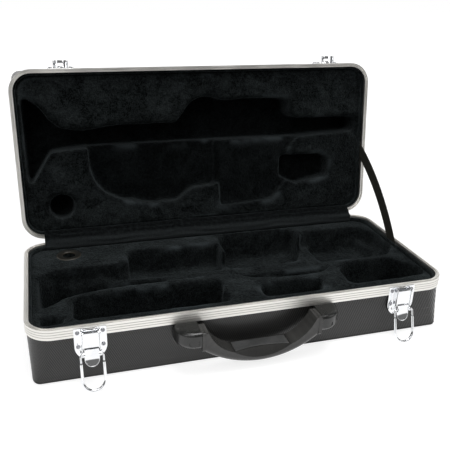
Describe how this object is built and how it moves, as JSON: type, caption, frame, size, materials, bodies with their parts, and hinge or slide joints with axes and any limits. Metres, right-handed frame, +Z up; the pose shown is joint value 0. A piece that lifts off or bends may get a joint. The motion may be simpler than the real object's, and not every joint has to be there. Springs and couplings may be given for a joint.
{
  "type": "trumpet case",
  "caption": "Hard moulded trumpet case with aluminium rim frames, plush fitted interior, draw latches, hinged lid on a stay strap and swinging handle.",
  "frame": {"origin": "centre of the base's flat underside, on the surface it stands on", "axes": "+X along the length, -Y the front with handle and latches, +Z up out of the flat underside"},
  "size_m": [0.56, 0.378, 0.3367],
  "materials": {
    "black_shell": "pebbled moulded plastic, low sheen",
    "aluminium_frame": "satin extrusion",
    "plush": "short dark navy plush over moulded foam",
    "ring_tan": "tan-brown ring",
    "chrome_plate": "bright chrome-plated steel",
    "handle_plastic": "charcoal moulded plastic",
    "pad_rubber": "slightly lighter moulded insert",
    "zinc_steel": "zinc-plated steel",
    "webbing": "black woven webbing",
    "cover_cloth": "black ribbed cloth",
    "foot_plastic": "black moulded foot"
  },
  "bodies": {
    "base": {"base_shell": "black_shell", "base_valance": "aluminium_frame", "base_lining": "plush", "mouthpiece_ring": "ring_tan", "handle_left_mount": "handle_plastic", "handle_right_mount": "handle_plastic", "handle_left_pin": "zinc_steel", "handle_right_pin": "zinc_steel", "handle_backing_plates": "zinc_steel", "handle_screws": "zinc_steel", "hinge_base_rivets": "chrome_plate", "base_feet": "foot_plastic", "stay_strap": "webbing", "strap_base_rivet": "chrome_plate", "hinge_cover": "cover_cloth", "latch_left_plate": "chrome_plate", "latch_right_plate": "chrome_plate", "latch_left_pin": "chrome_plate", "latch_right_pin": "chrome_plate", "latch_left_rivets": "chrome_plate", "latch_right_rivets": "chrome_plate", "hinge_left_base_leaf": "chrome_plate", "hinge_left_pin": "chrome_plate", "hinge_centre_base_leaf": "chrome_plate", "hinge_centre_pin": "chrome_plate", "hinge_right_base_leaf": "chrome_plate", "hinge_right_pin": "chrome_plate"},
    "lid": {"lid_shell": "black_shell", "lid_valance": "aluminium_frame", "lid_lining": "plush", "strap_lid_rivet": "chrome_plate", "hinge_lid_rivets": "chrome_plate", "lid_feet": "foot_plastic", "catch_left": "chrome_plate", "catch_left_rivets": "chrome_plate", "catch_right": "chrome_plate", "catch_right_rivets": "chrome_plate", "hinge_left_lid_leaf": "chrome_plate", "hinge_centre_lid_leaf": "chrome_plate", "hinge_right_lid_leaf": "chrome_plate"},
    "handle": {"handle_grip": "handle_plastic", "handle_pad": "pad_rubber"},
    "left_lever": {"latch_left_lever": "chrome_plate"},
    "left_bail": {"latch_left_bail": "chrome_plate"},
    "right_lever": {"latch_right_lever": "chrome_plate"},
    "right_bail": {"latch_right_bail": "chrome_plate"}
  },
  "joints": [
    {"name": "lid_hinge", "type": "hinge", "parent": "base", "child": "lid", "pos_m": [0, 0.12785, 0.0765], "axis": [-1, 0, 0], "range_deg": [-97.5, 0], "deforming": ["stay_strap", "hinge_cover"]},
    {"name": "handle_swing", "type": "hinge", "parent": "base", "child": "handle", "pos_m": [0, -0.14035, 0.05], "axis": [-1, 0, 0], "range_deg": [-8, 180]},
    {"name": "left_lever_swing", "type": "hinge", "parent": "base", "child": "left_lever", "pos_m": [-0.2065, -0.12895, 0.069], "axis": [1, 0, 0], "range_deg": [-110, 0]},
    {"name": "left_bail_swing", "type": "hinge", "parent": "left_lever", "child": "left_bail", "pos_m": [-0.2065, -0.13435, 0.0445], "axis": [-1, 0, 0], "range_deg": [-26, 167]},
    {"name": "right_lever_swing", "type": "hinge", "parent": "base", "child": "right_lever", "pos_m": [0.2065, -0.12895, 0.069], "axis": [1, 0, 0], "range_deg": [-110, 0]},
    {"name": "right_bail_swing", "type": "hinge", "parent": "right_lever", "child": "right_bail", "pos_m": [0.2065, -0.13435, 0.0445], "axis": [-1, 0, 0], "range_deg": [-26, 167]}
  ]
}
